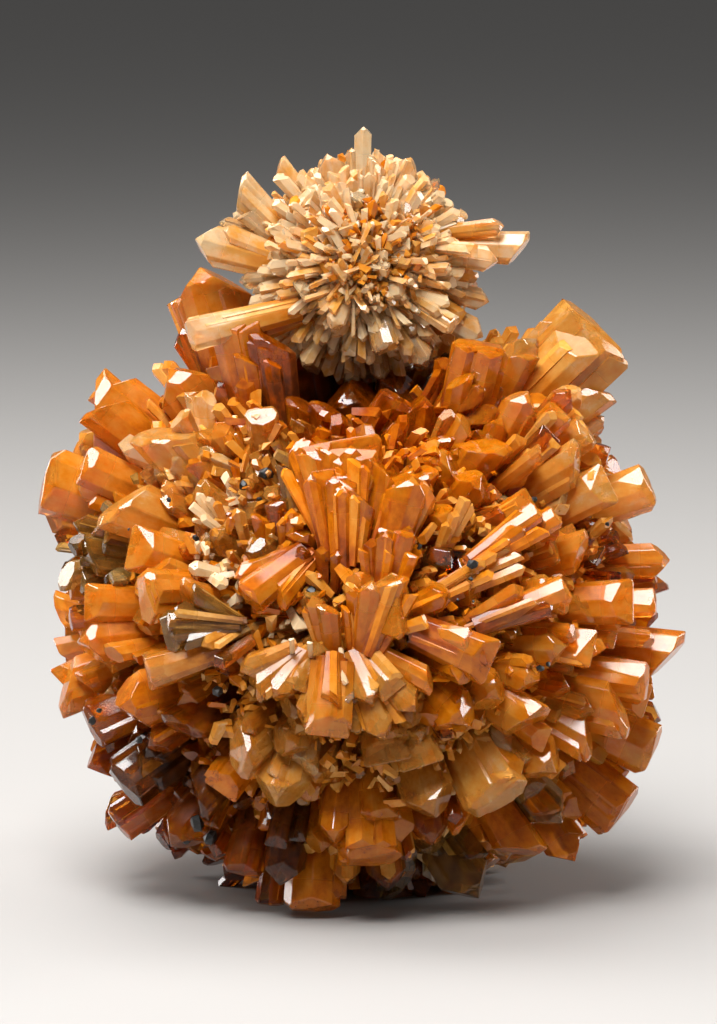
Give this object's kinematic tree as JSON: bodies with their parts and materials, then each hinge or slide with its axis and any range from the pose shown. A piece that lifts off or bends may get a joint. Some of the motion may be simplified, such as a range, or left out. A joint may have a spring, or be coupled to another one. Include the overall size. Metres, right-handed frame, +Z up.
{
  "type": "creedite crystal cluster",
  "caption": "Ball of radiating orange creedite crystals with a smaller, paler ball of finer crystals grown on top, standing on a small flat spot.",
  "frame": {"origin": "middle of the small flat spot under the large ball, on the surface that the specimen rests on", "axes": "+Z up from the large ball to the small one; the front as pictured faces -Y; +X to the viewer's right"},
  "size_m": [0.0733, 0.0715, 0.0871],
  "materials": {
    "creedite_crystal": "translucent orange crystal with glassy faces"
  },
  "bodies": {
    "root": {"creedite_cluster": "creedite_crystal"}
  },
  "joints": []
}
